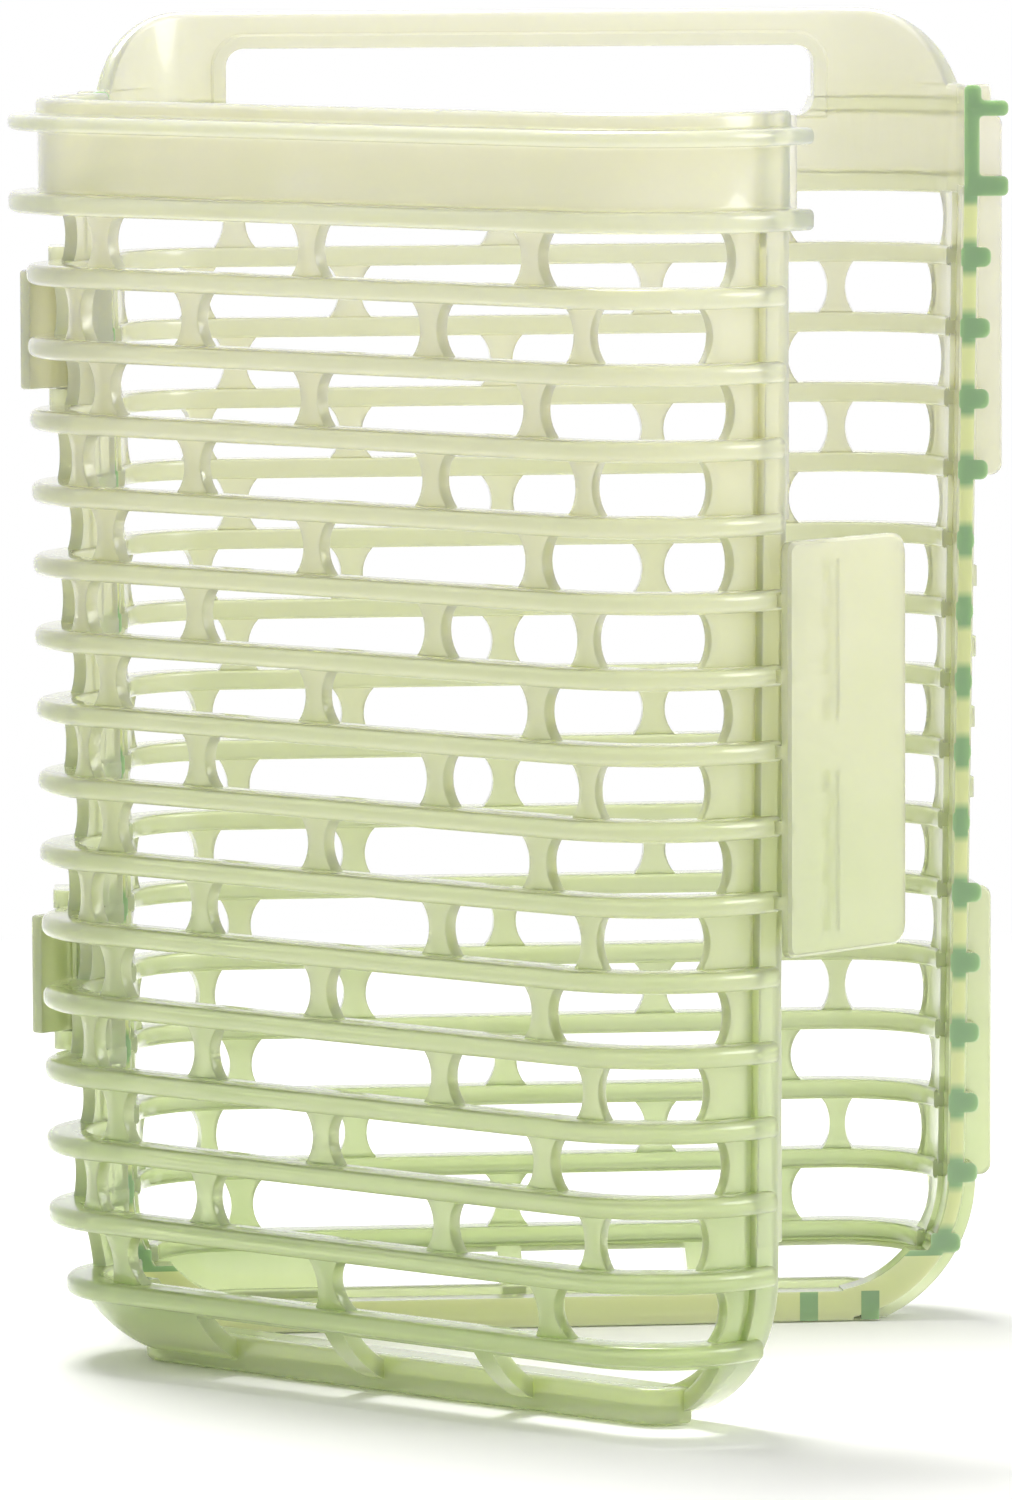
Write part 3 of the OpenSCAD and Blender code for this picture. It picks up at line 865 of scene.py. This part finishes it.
# Painted light and shade: lighter cream at the top, where light falls from above, greener and darker towards
# the base as painted shade
def bodyColourWithPaintedLight(tree, height, cloud):
    s = mouldedPolypropylene
    # Painted light: the colour runs from the painted shade low down to the painted lit top
    paintedLightRise = stretched(tree, height, start=(s["lowHeight"], s["topHeight"]))
    shift = stretched(tree, cloud, end=(-s["cloudShift"], s["cloudShift"]))
    mixed = addNode(tree, "ShaderNodeMath", {"operation": "ADD", "use_clamp": True}, {0: paintedLightRise, 1: shift})
    body = twoColours(tree, mixed.outputs[0], s["paintedShadeLowColour"], s["paintedLitTopColour"])
    # Painted fill light: below these heights the foot takes the paler painted foot colour
    above = stretched(tree, height, start=s["paintedFillLightHeights"])
    return addNode(tree, "ShaderNodeMix", {"data_type": "RGBA", 6: linear(s["paintedFillLightFootColour"])},
                   {0: above, 7: body}).outputs[2]


matingFace = {
    **mouldedPolypropylene,
    "transmission": 0.2,
    "ribColour": "#8fb284",
    "rowColour": "#dbe0ac",
    "ribEdge": (0.18, 0.3),  # in rib pitches from a rib's middle
    "collarStart": 0.159,
    "collarFade": 0.001,
    "lowRow": 0.009,
}


# Light runs along the ribs and leaves at their cut ends, so these show deep green
def faceColour(tree, height, cloud):
    f, start = matingFace, matingFace["collarStart"]
    fromLowest = arithmetic(tree, "SUBTRACT", height, lattice["lowestRib"] / 1000)
    inPitches = arithmetic(tree, "DIVIDE", fromLowest, lattice["ribPitch"] / 1000)
    row = stretched(tree, arithmetic(tree, "PINGPONG", inPitches, 0.5), start=f["ribEdge"])
    below = stretched(tree, height, start=(start, start - f["collarFade"]))
    rows = arithmetic(tree, "MAXIMUM", row, arithmetic(tree, "LESS_THAN", height, f["lowRow"]))
    return twoColours(tree, arithmetic(tree, "MULTIPLY", rows, below), f["ribColour"], f["rowColour"])


def ribEndColour(tree, height, cloud):
    plain = addNode(tree, "ShaderNodeRGB")
    plain.outputs[0].default_value = linear(matingFace["ribColour"])
    return plain.outputs[0]


palePp = polypropylene("mouldedPolypropylene", mouldedPolypropylene, bodyColourWithPaintedLight)
deepPp = polypropylene("polypropyleneMatingFace", matingFace, faceColour)
endPp = polypropylene("polypropyleneRibEnd", matingFace, ribEndColour)
print("materials made")

rearHalf = join(ribs(False), [posts(), strips(), rearTop(), base(), lugs(), ears(), lowerWeb(), floorRibs(),
                             catches()])
finishHalf(rearHalf, toFrame, (palePp, deepPp, endPp)).name = "rearHalf"
frontHalf = join(ribs(True), [posts(), strips(), collar(), base(), straps(), latch(), tongue()])
finishHalf(frontHalf, toFrame @ restTurn, (palePp, deepPp)).name = "frontHalf"
for half, body in ((rearHalf, "rear_half"), (frontHalf, "front_half")):
    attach(half, body)
    start = body.split("_")[0] + "_"
    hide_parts(*[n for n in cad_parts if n.startswith(start)])
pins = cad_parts["hinge_pins"]
pins.data.materials.clear()
pins.data.materials.append(palePp)
print("halves made")

# Metres and watts
studio = {
    "white": "#ffffff",
    "worldStrength": 0.62,
    "aim": (0, -0.03, 0.09),
    "topSpot": (-0.15, 0.25, 1.0),
    "topSize": 0.5,
    "topWatts": 11.0,
    "fillSpot": (0.9, -0.6, 0.5),
    "fillSize": 0.6,
    "fillWatts": 4.0,
    "floorColour": "#f7f7f5",
    "floorRoughness": 0.85,
    "floorReach": 0.5,     # from the basket to where the paper is plain white
    "floorDrop": 0.0002,
    "floorCorners": [(-6, -4, 0), (6, -4, 0), (6, 8, 0), (-6, 8, 0)],
}


def softbox(name, spot, size, watts):
    lamp = bpy.data.lights.new(name, "AREA")
    lamp.shape, lamp.size, lamp.energy = "DISK", size, watts
    thing = bpy.data.objects.new(name, lamp)
    thing.location = spot
    thing.rotation_euler = (Vector(studio["aim"]) - Vector(spot)).to_track_quat("-Z", "Y").to_euler()
    bpy.context.scene.collection.objects.link(thing)


softbox("topSoftbox", studio["topSpot"], studio["topSize"], studio["topWatts"])
softbox("fillSoftbox", studio["fillSpot"], studio["fillSize"], studio["fillWatts"])


# Rays that show the surroundings: to the eye, in gloss and through the plastic
def showingRays(tree):
    path = addNode(tree, "ShaderNodeLightPath").outputs
    seen = arithmetic(tree, "MAXIMUM", path["Is Camera Ray"], path["Is Glossy Ray"])
    return arithmetic(tree, "MAXIMUM", seen, path["Is Transmission Ray"])


# White surroundings, softer as light
def softWhite():
    world = bpy.data.worlds.new("softWhite")
    bpy.context.scene.world = world
    world.use_nodes = True
    tree = world.node_tree
    tree.nodes.clear()
    level = stretched(tree, showingRays(tree), end=(studio["worldStrength"], 1.0))
    sky = addNode(tree, "ShaderNodeBackground", {"Color": linear(studio["white"])}, {"Strength": level})
    addNode(tree, "ShaderNodeOutputWorld", links={"Surface": sky.outputs[0]})


# Pale matt paper that runs out into the white surroundings
def mattPaper():
    paper = bpy.data.materials.new("mattPaper")
    paper.use_nodes = True
    tree = paper.node_tree
    tree.nodes.clear()
    sheet = addNode(tree, "ShaderNodeBsdfPrincipled",
                    {"Base Color": linear(studio["floorColour"]), "Roughness": studio["floorRoughness"]})
    beyond = addNode(tree, "ShaderNodeEmission", {"Color": linear(studio["white"])})
    place = addNode(tree, "ShaderNodeTexCoord").outputs["Object"]
    away = addNode(tree, "ShaderNodeVectorMath", {"operation": "LENGTH"}, {0: place}).outputs["Value"]
    far = stretched(tree, away, start=(studio["floorReach"] / 2, studio["floorReach"]))
    fade = arithmetic(tree, "MULTIPLY", far, showingRays(tree))
    mixed = addNode(tree, "ShaderNodeMixShader", links={0: fade, 1: sheet.outputs[0], 2: beyond.outputs[0]})
    addNode(tree, "ShaderNodeOutputMaterial", links={"Surface": mixed.outputs[0]})
    return paper


softWhite()
floorMesh = bpy.data.meshes.new("studioFloor")
floorMesh.from_pydata(studio["floorCorners"], [], [(0, 1, 2, 3)])
floorMesh.materials.append(mattPaper())
studioFloor = bpy.data.objects.new("studioFloor", floorMesh)
studioFloor.location.z = -studio["floorDrop"]
bpy.context.scene.collection.objects.link(studioFloor)
print("studio set")

# The photograph's viewing angle, in metres and degrees
view = {
    "lens": 256.0,
    "spot": (-0.1808, -1.49145, 0.2231),
    "turn": -6.755,
    "down": 5.39,
    "roll": -0.23,
}
camera = bpy.data.objects.new("camera", bpy.data.cameras.new("camera"))
camera.data.lens = view["lens"]
camera.matrix_world = (Matrix.Translation(view["spot"]) @ Matrix.Rotation(math.radians(view["turn"]), 4, "Z")
                       @ Matrix.Rotation(math.radians(90 - view["down"]), 4, "X")
                       @ Matrix.Rotation(math.radians(view["roll"]), 4, "Z"))
bpy.context.scene.collection.objects.link(camera)
bpy.context.scene.camera = camera
bpy.context.scene.view_settings.view_transform = "Standard"
